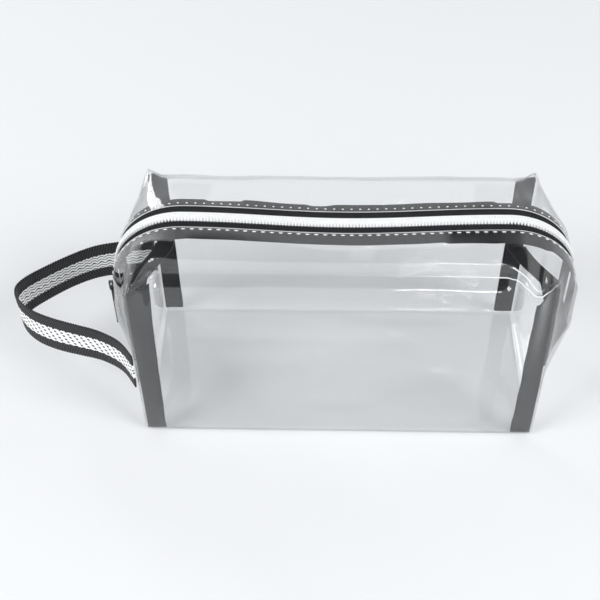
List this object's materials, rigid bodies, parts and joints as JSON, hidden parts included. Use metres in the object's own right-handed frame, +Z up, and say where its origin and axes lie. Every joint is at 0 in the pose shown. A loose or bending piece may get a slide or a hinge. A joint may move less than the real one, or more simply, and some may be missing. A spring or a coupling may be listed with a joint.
{
  "type": "makeup bag",
  "caption": "Clear boxy sheet-PVC pouch with a zip over the top and down both ends, black bound seams and a side webbing handle loop.",
  "frame": {"origin": "on the underside of the base, midway between the four corner seams", "axes": "+X along the bag's length, away from the handle loop; +Z up; the front faces -Y"},
  "size_m": [0.3121, 0.0995, 0.1225],
  "materials": {
    "clear_pvc": "clear, high gloss, 0.5 mm sheet",
    "zip_tape": "black herringbone woven polyester tape",
    "zip_coil": "white nylon coil",
    "slider_metal": "black baked enamel on die-cast zinc",
    "binding_tape": "matt black woven binding",
    "black_thread": "black sewing thread",
    "white_thread": "white sewing thread",
    "webbing": "black ribbed webbing with a white patterned centre stripe"
  },
  "bodies": {
    "bag": {"pvc_base": "clear_pvc", "pvc_front_wall": "clear_pvc", "pvc_back_wall": "clear_pvc", "pvc_top_front": "clear_pvc", "pvc_top_back": "clear_pvc", "pvc_left_end_front": "clear_pvc", "pvc_left_end_back": "clear_pvc", "pvc_left_end_lower": "clear_pvc", "pvc_right_end_front": "clear_pvc", "pvc_right_end_back": "clear_pvc", "pvc_right_end_lower": "clear_pvc", "zip_tape_front": "zip_tape", "zip_tape_back": "zip_tape", "zip_coil_front": "zip_coil", "zip_coil_back": "zip_coil", "binding_front_left": "binding_tape", "binding_front_right": "binding_tape", "binding_back_left": "binding_tape", "binding_back_right": "binding_tape", "binding_left_end": "binding_tape", "binding_right_end": "binding_tape", "seam_thread_front_left": "black_thread", "seam_thread_front_right": "black_thread", "seam_thread_back_left": "black_thread", "seam_thread_back_right": "black_thread", "seam_thread_left_end": "black_thread", "seam_thread_right_end": "black_thread", "top_stitch_front": "white_thread", "top_stitch_back": "white_thread", "strap_webbing": "webbing"},
    "slider": {"slider_body": "slider_metal"},
    "pull": {"pull_tab": "slider_metal"}
  },
  "joints": [
    {"name": "slider_travel", "type": "slide", "parent": "bag", "child": "slider", "axis": [0, 0, 1], "range_m": [0, 0.01]},
    {"name": "pull_swing", "type": "hinge", "parent": "slider", "child": "pull", "pos_m": [-0.1273, 0, 0.069], "axis": [0, 1, 0], "range_deg": [0, 180]}
  ]
}
